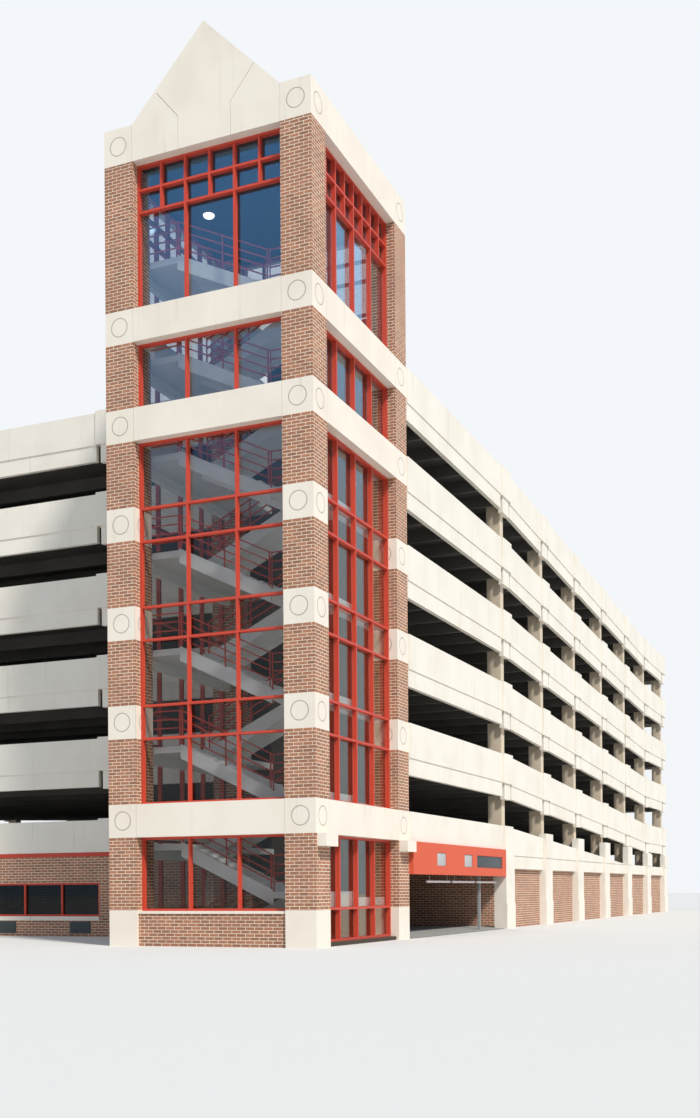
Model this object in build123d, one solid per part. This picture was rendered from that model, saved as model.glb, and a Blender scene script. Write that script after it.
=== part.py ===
"""Seven-level precast parking garage with a brick and glass stair tower, at half size, in millimetres.

Plan axes: x runs along the front, y runs back along the long side, z is up.
The sizes below are measured from the tower's outer front corner: x falls to the west, y grows to the
north. The ramps fall half a storey to the back on the east side, and a further half on the west side.
"""
import os
from build123d import *

os.makedirs("parts", exist_ok=True)

# Heights
storey = 1525.0
levels = 7                      # the highest deck, level 1 is the ground floor
grade = 60.0                    # the ground floor above the pavement
parapet = 600.0                 # from a deck up to the top of its spandrel
deck_depth = 300.0              # from a deck down to the underside of its spandrel
slab = 60.0
band = 510.0                    # height of the stone bands on the tower
cornice_base = 12012.0          # above the tower's floor
cornice = 560.0
gable_rise = 1262.0
base_course = 490.0             # stone foot of the tower piers above the floor

# Tower plan
tower_width = 3540.0
tower_depth = 3810.0
pier = 500.0
band_thick = 250.0
gable_thick = 150.0
glass_recess = 150.0
mullion_depth = 75.0
mullion = 36.0
glass = 12.0
roof_slab = 70.0
roof_sheet = 40.0
roof_drop = 90.0                # from the gable's edge down to the roof behind it

# Tower glazing
front_panes = 3
side_panes = 4
sill_height = 480.0
sill_thick = 40.0
sill_proud = 20.0
base_wall_inset = 50.0
door_rail = 500.0
clerestory_low = 11280.0
clerestory_high = 11625.0
rear_wall_top = storey * levels
rear_wall = 100.0
doorway = 450.0
doorway_height = 1050.0

# Garage plan
front_setback = 3378.0
first_cover = 9410.0            # y of the first column cover on the long side
bay = 3280.0
ramp_bays = 5
level_bays = 1
module = 9150.0                 # half the garage's width
face_step = 25.0                # spandrels stand this far in front of the tower's side
panel = 100.0
joint = 5.0
middle_gap = 300.0              # clear strip between the two ramps, filled by columns
front_cover_x = 6040.0          # from the tower's corner to the west edge of the first front cover
front_bays = 3
tee_pitch = bay / 3
tee_stem = 70.0

# Column covers and columns
cover = 650.0
cover_proud = 30.0
cover_rise = 30.0
stub = 450.0
stub_drop = 40.0
column_width = 225.0
column_depth = 300.0
lip_setback = 16.0

# Ground storey
lintel_base = 1225.0            # above the floor: underside of the lowest spandrels
lintel_top = 1510.0
infill = 110.0
infill_lap = 30.0
pilaster_proud = 55.0
pilaster_cap_proud = 70.0
pilaster_top = 2080.0
pilaster_base_proud = 70.0
entrance_slope = 650.0
threshold = 8.0
post_width = 50.0
post_inset = 60.0
post_share = 0.79
fascia_base = 1050.0
fascia_proud = 55.0
sign_low = 1210.0
sign_high = 1450.0
sign_recess = 15.0
corbel_height = 190.0
corbel_proud = 150.0
corbel_width = 420.0
window_sill = 320.0
window_head = 955.0
trim_base = 1450.0
trim_proud = 10.0
front_panes_per_bay = 4
vent_width = 465.0
vent_height = 225.0
vent_thick = 12.0
vent_rise = 110.0               # centre of the vents above the floor

# Stair
landing_west = 740.0
landing_east = 700.0
flight_width = 750.0
flight_gap = 100.0
risers = 10
waist = 60.0                    # least thickness of a flight under its steps
string_thick = 40.0
string_depth = 230.0
string_rise = 30.0
landing_thick = 100.0
stair_beam = 100.0
stair_beam_depth = 140.0
rail_count = 4
rail_height = 535.0
rail = 20.0
rail_post = 18.0

# Derived lines of the plan
ramp_end = first_cover + ramp_bays * bay
garage_end = ramp_end + level_bays * bay + cover
east_face = face_step
west_face = east_face - 2 * module - face_step
middle = (east_face + west_face) / 2
east_deck = east_face - panel
west_deck = west_face + panel
front_deck = front_setback + panel
rear_deck = garage_end - panel
covers_y = [first_cover + i * bay for i in range(ramp_bays + level_bays + 1)]
front_step = (front_cover_x + west_face) / front_bays
covers_x = [-front_cover_x + i * front_step for i in range(front_bays)]
rear_step = (west_face + cover + module / 2) / 3
inner_glass = glass_recess + mullion_depth + glass
cap_top = max(pilaster_proud, pilaster_cap_proud, pilaster_base_proud)

# The finished part stands with the middle of its plan box on the z axis
x_low = west_face - cap_top
x_high = max(east_face + cap_top, corbel_proud)
y_high = garage_end + cap_top
centre_x = (x_low + x_high) / 2
centre_y = y_high / 2


def floor(level):
    """Height of the front deck of a level."""
    return grade + storey * (level - 1)


def east_floor(level, y):
    """Height of a level on the east side, which falls half a storey along its ramp."""
    run = min(max(y - first_cover, 0.0), ramp_end - first_cover)
    return floor(level) - storey / 2 * run / (ramp_end - first_cover)


def west_floor(level, y):
    """Height of the deck that leaves the back crossover of a level and falls to the level below."""
    run = min(max(ramp_end - y, 0.0), ramp_end - first_cover)
    return floor(level) - storey / 2 - storey / 2 * run / (ramp_end - first_cover)


def block(x0, x1, y0, y1, z0, z1):
    """Box between two corners."""
    low = Vector(min(x0, x1), min(y0, y1), z0)
    solid = Box(abs(x1 - x0), abs(y1 - y0), z1 - z0, align=(Align.MIN, Align.MIN, Align.MIN))
    return Pos(low.X, low.Y, low.Z) * solid


def across(points, x0, x1):
    """Outline in y and z, carried from x0 to x1."""
    plane = Plane(origin=(min(x0, x1), 0, 0), x_dir=(0, 1, 0), z_dir=(1, 0, 0))
    return extrude(plane * make_face(Polyline(*points, close=True)), amount=abs(x1 - x0))


def along(points, y0, y1):
    """Outline in x and z, carried from y0 to y1."""
    plane = Plane(origin=(0, y1, 0), x_dir=(1, 0, 0), z_dir=(0, -1, 0))
    return extrude(plane * make_face(Polyline(*points, close=True)), amount=y1 - y0)


def emit(name, solids):
    """Write one node, moved so that the part's plan box is centred."""
    group = Compound(children=[Pos(-centre_x, -centre_y, 0) * s for s in solids])
    export_step(group, "parts/" + name + ".step")


def strip(y0, y1, top0, top1, depth, x0, x1):
    """Level or sloping bar with upright ends along the y direction."""
    return across([(y0, top0 - depth), (y1, top1 - depth), (y1, top1), (y0, top0)], x0, x1)


def side_panel(face, out, y0, y1, top0, top1):
    """Long-side spandrel: an upper field and, below deck level, a lip that is set back."""
    back = face - out * panel
    field = strip(y0, y1, top0, top1, parapet, back, face)
    lip = strip(y0, y1, top0 - parapet, top1 - parapet, deck_depth, back, face - out * lip_setback)
    return field + lip


def end_panel(face, out, x0, x1, top):
    """Level spandrel of the short sides, with the same lip."""
    back = face - out * panel
    base = top - parapet
    field = block(x0, x1, back, face, base, top)
    lip = block(x0, x1, back, face - out * lip_setback, base - deck_depth, base)
    return field + lip


def side_cover(face, out, y0, top):
    """Column cover of a long side: a wide head over the joint and a narrow foot below deck level."""
    back = face - out * panel
    middle_y = y0 + cover / 2
    head = block(back, face + out * cover_proud, y0, y0 + cover, top - parapet, top + cover_rise)
    foot = block(back, face, middle_y - stub / 2, middle_y + stub / 2,
                 top - parapet - deck_depth - stub_drop, top - parapet)
    return head + foot


def end_cover(face, out, x0, top):
    """Column cover of a short side."""
    back = face - out * panel
    middle_x = x0 + cover / 2
    head = block(x0, x0 + cover, back, face + out * cover_proud, top - parapet, top + cover_rise)
    foot = block(middle_x - stub / 2, middle_x + stub / 2, back, face,
                 top - parapet - deck_depth - stub_drop, top - parapet)
    return head + foot


def tee_outline(y0, y1, top_of, stems):
    """Side view of a deck of double tees: a flat top over upright stems."""
    lower = [(y0, top_of(y0) - slab)]
    for y in stems:
        for edge in (y - tee_stem / 2, y + tee_stem / 2):
            ends = [slab, deck_depth] if edge < y else [deck_depth, slab]
            lower += [(edge, top_of(edge) - ends[0]), (edge, top_of(edge) - ends[1])]
    lower.append((y1, top_of(y1) - slab))
    return lower + [(y1, top_of(y1)), (y0, top_of(y0))]


def stems_between(y0, y1):
    """Stem places that keep clear of the columns, which stand at the middles of the covers."""
    first = first_cover + cover / 2 + tee_pitch / 2
    count = int((y1 - first) / tee_pitch) + 1
    places = [first + i * tee_pitch for i in range(-20, count + 1)]
    return [y for y in places if y0 + tee_stem < y < y1 - tee_stem]


def ground_and_decks():
    """Ground floor slab and the four families of parking decks."""
    inner_east = east_deck - infill
    inner_west = west_deck + infill
    ground = block(west_deck + infill, inner_east, front_deck, rear_deck - infill, 0, grade)
    ground -= block(-tower_width, 0, 0, tower_depth, 0, grade)
    slope_x = east_face - entrance_slope
    ground -= block(slope_x, inner_east, tower_depth, first_cover, 0, grade)
    ground += along([(slope_x, 0), (east_face, 0), (east_face, threshold), (slope_x, grade)], tower_depth,
                    first_cover)
    emit("ground_floor", [ground])

    front = []
    edge = []
    stems = stems_between(tower_depth, first_cover)
    for k in range(2, levels + 1):
        top = floor(k)
        front.append(across(tee_outline(tower_depth, first_cover, lambda y: top, stems), west_deck, east_deck))
        edge.append(block(west_deck, -tower_width, front_deck, tower_depth, top - slab, top))
    emit("front_crossover_decks", front)
    emit("front_edge_decks", edge)

    east = []
    west = []
    rear = []
    east_edge = middle + middle_gap / 2
    west_edge = middle - middle_gap / 2
    for k in range(2, levels + 1):
        low = k == 2
        outline = tee_outline(first_cover, ramp_end, lambda y: east_floor(k, y),
                              stems_between(first_cover, ramp_end))
        east.append(across(outline, east_edge, inner_east if low else east_deck))
        if low:
            low_end = first_cover + deck_depth * (ramp_end - first_cover) / (storey / 2)
            wedge = [(first_cover, grade), (low_end, grade), (ramp_end, grade + storey / 2 - deck_depth),
                     (ramp_end, grade + storey / 2)]
            west.append(across(wedge, inner_west, west_edge))
        else:
            outline = tee_outline(first_cover, ramp_end, lambda y: west_floor(k, y),
                                  stems_between(first_cover, ramp_end))
            west.append(across(outline, west_deck, west_edge))
        back = rear_deck - (infill if low else 0)
        outline = tee_outline(ramp_end, back, lambda y: floor(k) - storey / 2, stems_between(ramp_end, back))
        rear.append(across(outline, inner_west if low else west_deck, inner_east if low else east_deck))
    emit("east_ramp_decks", east)
    emit("west_ramp_decks", west)
    emit("rear_crossover_decks", rear)


def long_side_spandrels():
    """Spandrels of the two long sides, bay by bay, with their joints at the column covers."""
    east = []
    west = []
    starts = [tower_depth] + [y + cover + joint for y in covers_y[:-1]]
    ends = [y - joint for y in covers_y]
    for k in range(3, levels + 1):
        for y0, y1 in zip(starts, ends):
            east.append(side_panel(east_face, 1, y0, y1, east_floor(k, y0) + parapet,
                                   east_floor(k, y1) + parapet))
    for y0, y1 in list(zip(starts, ends))[1:]:
        tops = [max(east_floor(2, y) + parapet, grade + lintel_top) for y in (y0, y1)]
        base = grade + lintel_base
        whole = across([(y0, base), (y1, base), (y1, tops[1]), (y0, tops[0])],
                       east_face - panel, east_face)
        line = grade + lintel_top
        cut = block(east_face - lip_setback, east_face + 1, y0 - 1, y1 + 1, base - 1, line)
        east.append(whole - cut)
    east.append(block(east_face - panel, east_face, tower_depth, first_cover - joint,
                      floor(2) + parapet - band, floor(2) + parapet))
    emit("east_spandrels", east)

    starts[0] = front_deck + cover + 2 * joint
    for k in range(2, levels + 1):
        if k > 2:
            west.append(side_panel(west_face, -1, starts[0], ends[0], floor(k) + parapet,
                                   floor(k) + parapet))
        for y0, y1 in list(zip(starts, ends))[1:]:
            if k > 2:
                west.append(side_panel(west_face, -1, y0, y1, west_floor(k, y0) + parapet,
                                       west_floor(k, y1) + parapet))
    for y0, y1 in zip(starts, ends):
        level = y0 < first_cover
        top = floor(2) + parapet if level else grade + lintel_top
        if level or west_floor(3, y0) - deck_depth > top:
            west.append(block(west_face, west_face + panel, y0, y1, grade + lintel_base, top))
    emit("west_spandrels", west)


def short_side_spandrels():
    """Spandrels of the front wing and of the back."""
    front = []
    starts = [west_face + cover + joint] + [x + cover + joint for x in reversed(covers_x)]
    ends = [x - joint for x in reversed(covers_x)] + [-tower_width]
    for k in range(3, levels + 1):
        for x0, x1 in zip(starts, ends):
            front.append(end_panel(front_setback, -1, x0, x1, floor(k) + parapet))
    for x0, x1 in zip(starts, ends):
        front.append(block(x0, x1, front_setback, front_deck, floor(2), floor(2) + parapet))
    emit("front_spandrels", front)

    rear = []
    starts = [west_deck] + [x + cover + joint for x in rear_covers()]
    ends = [x - joint for x in rear_covers()] + [east_deck]
    for k in range(3, levels + 1):
        for x0, x1 in zip(starts, ends):
            rear.append(end_panel(garage_end, 1, x0, x1, floor(k) - storey / 2 + parapet))
    for x0, x1 in zip(starts, ends):
        rear.append(block(x0, x1, rear_deck, garage_end, grade + lintel_base, grade + lintel_top))
    emit("rear_spandrels", rear)


def rear_covers():
    """West edges of the column covers along the back, evenly spaced between the corners."""
    span = (east_face - west_face - cover) / (front_bays + 1)
    return [west_face + span * (i + 1) for i in range(front_bays)]


def column_covers():
    """Covers over the joints of the spandrels, on all sides and at every level above the ground."""
    covers = []
    for k in range(3, levels + 1):
        for y in covers_y:
            covers.append(side_cover(east_face, 1, y, east_floor(k, y + cover / 2) + parapet))
            level_y = y + cover / 2
            covers.append(side_cover(west_face, -1, y, west_floor(k, level_y) + parapet))
        covers.append(side_cover(west_face, -1, front_deck + joint, floor(k) + parapet))
        for x in covers_x + [west_face]:
            covers.append(end_cover(front_setback, -1, x, floor(k) + parapet))
        for x in rear_covers():
            covers.append(end_cover(garage_end, 1, x, floor(k) - storey / 2 + parapet))
    for x in covers_x + [west_face]:
        covers.append(block(x, x + cover, front_setback - cover_proud, front_deck, floor(2),
                            floor(2) + parapet + cover_rise))
    emit("column_covers", covers)


def post(x0, x1, y0, y1, foot_of, head_of):
    """Column between two decks, cut to their slopes."""
    outline = [(y0, foot_of(y0)), (y1, foot_of(y1)), (y1, head_of(y1)), (y0, head_of(y0))]
    return across(outline, x0, x1)


def columns():
    """Columns behind the covers and the two rows between the ramps."""
    posts = []
    for y in covers_y:
        low = y + (cover - column_width) / 2
        high = low + column_width
        for k in range(2, levels):
            posts.append(post(east_deck - column_depth, east_deck, low, high,
                              lambda v: east_floor(k, v), lambda v: east_floor(k + 1, v) - slab))
            posts.append(post(west_deck, west_deck + column_depth, low, high,
                              lambda v: west_floor(k, v), lambda v: west_floor(k + 1, v) - slab))
    for k in range(2, levels):
        for x in covers_x:
            left = x + (cover - column_width) / 2
            posts.append(block(left, left + column_width, front_deck, front_deck + column_depth, floor(k),
                               floor(k + 1) - slab))
        for x in rear_covers():
            left = x + (cover - column_width) / 2
            posts.append(block(left, left + column_width, rear_deck - column_depth, rear_deck,
                               floor(k) - storey / 2, floor(k + 1) - storey / 2 - slab))
    emit("facade_columns", posts)

    middles = []
    for y in covers_y[:ramp_bays]:
        low = y + (cover - middle_gap) / 2
        middles.append(block(middle - middle_gap / 2, middle + middle_gap / 2, low, low + middle_gap, grade,
                             east_floor(levels, low) + parapet))
    emit("middle_columns", middles)


def middle_walls():
    """Upstand walls along the inner edge of each ramp, past the middle columns."""
    walls = []
    thick = panel / 2
    for k in range(2, levels + 1):
        tops = [east_floor(k, y) + parapet for y in (first_cover, ramp_end)]
        edge = middle + middle_gap / 2
        walls.append(strip(first_cover, ramp_end, tops[0], tops[1], parapet, edge, edge + thick))
        tops = [west_floor(k, y) + parapet for y in (first_cover, ramp_end)]
        edge = middle - middle_gap / 2
        walls.append(strip(first_cover, ramp_end, tops[0], tops[1], parapet, edge - thick, edge))
    guard = block(west_deck, middle - middle_gap / 2, first_cover - panel, first_cover, floor(levels),
                  floor(levels) + parapet)
    emit("middle_walls", walls)
    emit("roof_guard", [guard])


def ground_storey():
    """Pilasters, brick infills, front wall and entrance at street level."""
    pilasters = []
    cap_line = grade + lintel_top
    for y in covers_y:
        for face, out, floor_of in ((east_face, 1, east_floor), (west_face, -1, west_floor)):
            back = face - out * panel
            low_y = y + cover if out == 1 else y
            back_top = max(floor_of(2, low_y) - deck_depth, grade)
            above = floor_of(3, low_y) - deck_depth - stub_drop - joint
            first = out == 1 and y == covers_y[0]
            head = floor(2) + parapet if first else min(grade + pilaster_top, above)
            proud = cover_proud if first else pilaster_cap_proud
            pilaster = block(back, face + out * pilaster_proud, y, y + cover, 0, min(cap_line, head))
            pilaster += block(back - out * infill, back, y, y + cover, 0, back_top)
            pilaster += block(back, face + out * pilaster_base_proud, y, y + cover, 0, grade + base_course)
            if head > cap_line + stub_drop:
                pilaster += block(back, face + out * proud, y, y + cover, cap_line, head)
            pilasters.append(pilaster)
    back_top = floor(2) - storey / 2 - deck_depth
    head = floor(3) - storey / 2 - deck_depth - stub_drop - joint
    for x in rear_covers():
        pilaster = block(x, x + cover, rear_deck, garage_end + pilaster_proud, 0, cap_line)
        pilaster += block(x, x + cover, rear_deck - infill, rear_deck, 0, back_top)
        pilaster += block(x, x + cover, rear_deck, garage_end + pilaster_base_proud, 0, grade + base_course)
        pilaster += block(x, x + cover, rear_deck, garage_end + pilaster_cap_proud, cap_line, head)
        pilasters.append(pilaster)
    emit("pilasters", pilasters)

    infills = []
    top = grade + lintel_base + infill_lap
    for y0, y1 in zip([y + cover for y in covers_y[:-1]], covers_y[1:]):
        infills.append(block(east_deck - infill, east_deck, y0, y1, 0, top))
        unders = [west_floor(3, y) - deck_depth for y in (y0, y1)]
        if unders[0] - grade < lintel_top:
            infills.append(across([(y0, 0), (y1, 0), (y1, unders[1]), (y0, unders[0])], west_deck,
                                  west_deck + infill))
        else:
            infills.append(block(west_deck, west_deck + infill, y0, y1, 0, top))
    infills.append(block(west_deck, west_deck + infill, front_deck, covers_y[0], 0, grade + lintel_base))
    edges = [west_deck + infill] + [x + offset for x in rear_covers() for offset in (0, cover)]
    edges.append(east_deck - infill)
    for x0, x1 in zip(edges[::2], edges[1::2]):
        infills.append(block(x0, x1, rear_deck - infill, rear_deck, 0, top))
    emit("brick_infills", infills)

    wall = block(west_face, -tower_width, front_setback, front_deck, 0, grade + trim_base)
    frames = []
    sheets = []
    sills = []
    vents = []
    sill_base = window_sill - 2 * sill_thick
    for x in covers_x:
        x0 = x + front_step + cover
        x1 = x
        wall -= block(x0, x1, front_setback - 1, front_deck + 1, grade + sill_base, grade + window_head)
        sills.append(block(x0, x1, front_setback - sill_proud, front_deck, grade + sill_base,
                           grade + window_sill))
        frames.append(lattice(x0, x1, grade + window_sill, grade + window_head, front_panes_per_bay, [],
                              front_setback + sill_proud, front_setback + sill_proud + mullion_depth / 2))
        back = front_setback + sill_proud + mullion_depth / 2
        sheets.append(block(x0, x1, back, back + glass, grade + window_sill, grade + window_head))
        for share in (0.125, 0.625):
            mid = x1 + (x0 - x1) * share
            vents.append(block(mid - vent_width / 2, mid + vent_width / 2, front_setback - vent_thick,
                               front_setback, grade + vent_rise - vent_height / 2,
                               grade + vent_rise + vent_height / 2))
    emit("front_brick_wall", [wall])
    emit("front_window_frames", frames)
    emit("front_window_glass", sheets)
    emit("front_window_sills", sills)
    emit("wall_vents", vents)
    emit("front_trim", [block(west_face, -tower_width, front_setback - trim_proud, front_deck,
                              grade + trim_base, floor(2))])

    fascia = block(east_deck, east_face + fascia_proud, tower_depth, first_cover, grade + fascia_base,
                   floor(2) + parapet - band)
    length = first_cover - tower_depth
    for start, end in ((0.22, 0.31), (0.50, 0.59), (0.64, 0.95)):
        fascia -= block(east_face + fascia_proud - sign_recess, east_face + fascia_proud + 1,
                        tower_depth + start * length, tower_depth + end * length, grade + sign_low,
                        grade + sign_high)
    emit("entrance_fascia", [fascia])

    side = post(middle + middle_gap / 2, east_deck - infill, first_cover, first_cover + panel,
                lambda v: grade, lambda v: east_floor(2, v) - slab)
    emit("entrance_side_wall", [side])
    x1 = east_deck - post_inset
    x0 = x1 - post_width
    y = tower_depth + post_share * length
    feet = [threshold + (grade - threshold) * (east_face - x) / entrance_slope for x in (x0, x1)]
    head = floor(2) - slab
    pole = along([(x0, feet[0]), (x1, feet[1]), (x1, head), (x0, head)], y, y + post_width)
    emit("entrance_post", [pole])


def lattice(a0, a1, z0, z1, panes, rails, y0, y1, extra_above=None):
    """Grid of mullions and rails in an upright plane along x; its bars share two flat faces."""
    step = (a1 - a0) / panes
    uprights = [a0 + step * i for i in range(panes + 1)]
    lines = [z0] + sorted(rails) + [z1]
    sheet = [(a0, z0), (a1, z0), (a1, z1), (a0, z1)]
    grid = along(sheet, y0, y1)
    for j in range(len(lines) - 1):
        split = extra_above is not None and lines[j] >= extra_above
        edges = uprights
        if split:
            edges = [a0 + step / 2 * i for i in range(2 * panes + 1)]
        low = lines[j] + (mullion if j == 0 else mullion / 2)
        high = lines[j + 1] - (mullion if j == len(lines) - 2 else mullion / 2)
        for i in range(len(edges) - 1):
            left = edges[i] + (mullion if i == 0 else mullion / 2)
            right = edges[i + 1] - (mullion if i == len(edges) - 2 else mullion / 2)
            grid -= block(left, right, y0 - 1, y1 + 1, low, high)
    return grid


def tower_faces():
    """The glazed segments between the stone bands: foot, head, rails and the line above which panes halve."""
    band_of = {k: floor(k) + parapet for k in range(2, levels + 1)}
    middle_rails = []
    for k in range(3, levels - 1):
        middle_rails += [band_of[k], band_of[k] - band]
    upper = [grade + clerestory_low, grade + clerestory_high]
    return [
        (band_of[2], band_of[levels - 1] - band, middle_rails, None),
        (band_of[levels - 1], band_of[levels] - band, [], None),
        (band_of[levels], grade + cornice_base, upper, grade + clerestory_low),
    ]


def turn_to_side(solid, x_face):
    """Turn a front-facing piece to face east at the given x, or west when the face is negative."""
    if x_face < 0:
        return Pos(x_face, 0, 0) * Rot(0, 0, -90) * solid
    return Pos(x_face, 0, 0) * Rot(0, 0, 90) * solid


def curtain_walls():
    """Red frames and the glass behind them on the four sides of the tower."""
    y0 = glass_recess
    y1 = glass_recess + mullion_depth
    low, high = -tower_width + pier, -pier
    band_base = floor(2) + parapet - band
    front = [lattice(low, high, z0, z1, front_panes, rails, y0, y1, extra)
             for z0, z1, rails, extra in tower_faces()]
    front.append(lattice(low, high, grade + sill_height, band_base, front_panes, [], y0, y1))
    glass_front = [block(low, high, y1, y1 + glass, z0, z1) for z0, z1, _, _ in tower_faces()]
    glass_front.append(block(low, high, y1, y1 + glass, grade + sill_height, band_base))
    emit("front_curtain_frames", front)
    emit("front_curtain_glass", glass_front)

    near, far = pier, tower_depth - pier
    for name, face, foot, rails in (("east", 0.0, grade, [grade + door_rail]),
                                    ("west", -tower_width, grade + sill_height, [])):
        frames = []
        sheets = []
        segments = tower_faces() + [(foot, band_base, rails, None)]
        for z0, z1, lines, extra in segments:
            if face == 0.0:
                frame = lattice(near, far, z0, z1, side_panes, lines, y0, y1, extra)
                sheet = block(near, far, y1, y1 + glass, z0, z1)
            else:
                frame = lattice(-far, -near, z0, z1, side_panes, lines, y0, y1, extra)
                sheet = block(-far, -near, y1, y1 + glass, z0, z1)
            frames.append(turn_to_side(frame, face))
            sheets.append(turn_to_side(sheet, face))
        emit(name + "_curtain_frames", frames)
        emit(name + "_curtain_glass", sheets)

    foot = grade + rear_wall_top
    rails = [grade + clerestory_low, grade + clerestory_high]
    back = tower_depth - glass_recess
    frame = lattice(low, high, foot, grade + cornice_base, front_panes, rails, back - mullion_depth, back,
                    grade + clerestory_low)
    sheet = block(low, high, back - mullion_depth - glass, back - mullion_depth, foot, grade + cornice_base)
    emit("rear_curtain_frame", [frame])
    emit("rear_curtain_glass", [sheet])


def corners():
    """Lower corner of each tower pier."""
    return [(x, y) for x in (-tower_width, -pier) for y in (0.0, tower_depth - pier)]


def tower_masonry():
    """Piers in brick between stone blocks, stone bands, cornice, gables and roof."""
    bricks = []
    blocks = []
    feet = []
    for x, y in corners():
        feet.append(block(x, x + pier, y, y + pier, 0, grade + base_course))
        low = grade + base_course
        for k in range(2, levels + 1):
            top = floor(k) + parapet
            bricks.append(block(x, x + pier, y, y + pier, low, top - band))
            blocks.append(block(x, x + pier, y, y + pier, top - band, top))
            low = top
        bricks.append(block(x, x + pier, y, y + pier, low, grade + cornice_base))
        blocks.append(block(x, x + pier, y, y + pier, grade + cornice_base,
                            grade + cornice_base + cornice))
    emit("tower_pier_feet", feet)
    emit("tower_brick_piers", bricks)
    emit("tower_corner_blocks", blocks)

    bands = []
    for k in (2, levels - 1, levels):
        top = floor(k) + parapet
        bands.append(block(-tower_width + pier, -pier, 0, band_thick, top - band, top))
        for x in (-tower_width, -band_thick):
            bands.append(block(x, x + band_thick, pier, tower_depth - pier, top - band, top))
    low = grade + cornice_base
    for x in (-tower_width, -gable_thick):
        bands.append(block(x, x + gable_thick, pier, tower_depth - pier, low, low + cornice))
    emit("tower_bands", bands)

    for name, y in (("front_gable", 0.0), ("rear_gable", tower_depth - gable_thick)):
        emit(name, gable_panels(y))

    inner = gable_thick
    roof = block(-tower_width + inner, -inner, inner, tower_depth - inner, low, low + roof_slab)
    for x, y in corners():
        roof -= block(x, x + pier, y, y + pier, low - 1, low + roof_slab + 1)
    emit("tower_ceiling", [roof])

    half = tower_width / 2 - pier
    slope = gable_rise / half
    reach = tower_width / 2 - gable_thick
    ridge = low + cornice + gable_rise - roof_drop
    eaves = ridge - slope * reach
    middle_x = -tower_width / 2
    sheets = along([(middle_x - reach, eaves), (middle_x, ridge), (middle_x + reach, eaves),
                    (middle_x + reach, eaves - roof_sheet), (middle_x, ridge - roof_sheet),
                    (middle_x - reach, eaves - roof_sheet)], gable_thick, tower_depth - gable_thick)
    for x, y in corners():
        sheets -= block(x, x + pier, y, y + pier, low - 1, low + cornice)
    emit("tower_roof", [sheets])


def gable_panels(y):
    """Three panels of a gable, parted by joints that rise from the band and turn out to the slopes."""
    low = grade + cornice_base
    foot = low + cornice
    half = tower_width / 2 - pier
    middle_x = -tower_width / 2
    knee_x = half * 0.354
    knee_z = low + cornice * 0.9
    meet_x = half * 0.67
    meet_z = foot + gable_rise * (1 - meet_x / half)
    gap = joint
    centre = [(middle_x - knee_x, low), (middle_x + knee_x, low), (middle_x + knee_x, knee_z),
              (middle_x + meet_x, meet_z), (middle_x, foot + gable_rise), (middle_x - meet_x, meet_z),
              (middle_x - knee_x, knee_z)]
    panels = [along(centre, y, y + gable_thick)]
    slope = gable_rise / half
    for side in (-1, 1):
        outline = [(middle_x + side * (knee_x + gap), low), (middle_x + side * half, low),
                   (middle_x + side * half, foot),
                   (middle_x + side * (meet_x + gap), meet_z - slope * gap),
                   (middle_x + side * (knee_x + gap), knee_z - gap / 2)]
        panels.append(along(outline if side == 1 else outline[::-1], y, y + gable_thick))
    return panels


def tower_walls():
    """Low brick walls, sills, floor, back wall and the stone corbels at street level."""
    walls = []
    sills = []
    top = grade + sill_height - sill_thick
    walls.append(block(-tower_width + pier, -pier, base_wall_inset, inner_glass, 0, top))
    sills.append(block(-tower_width + pier, -pier, base_wall_inset - sill_proud, inner_glass, top,
                       top + sill_thick))
    west = -tower_width
    walls.append(block(west + base_wall_inset, west + inner_glass, pier, tower_depth - pier, 0, top))
    sills.append(block(west + base_wall_inset - sill_proud, west + inner_glass, pier, tower_depth - pier,
                       top, top + sill_thick))
    emit("tower_base_walls", walls)
    emit("tower_sills", sills)

    slab_floor = block(west + inner_glass, -inner_glass, inner_glass, tower_depth, 0, grade)
    slab_floor += block(-inner_glass, -base_wall_inset, pier, tower_depth - pier, 0, grade)
    for x, y in corners():
        slab_floor -= block(x, x + pier, y, y + pier, -1, grade + 1)
    emit("tower_floor", [slab_floor])

    y0 = tower_depth - rear_wall
    door_end = west + pier + doorway
    emit("tower_rear_wall", [block(door_end, -pier, y0, tower_depth, grade, grade + rear_wall_top)])
    heads = []
    for k in range(1, levels + 1):
        heads.append(block(west + pier, door_end, y0, tower_depth, floor(k) + doorway_height,
                           floor(k + 1) - (landing_thick if k < levels else 0)))
    emit("tower_door_heads", heads)

    corbels = []
    inset = (pier - corbel_width) / 2
    corbel_top = floor(2) + parapet - band
    for y in (inset, tower_depth - pier + inset):
        corbels.append(block(0, corbel_proud, y, y + corbel_width, corbel_top - corbel_height, corbel_top))
    emit("pier_corbels", corbels)


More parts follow.
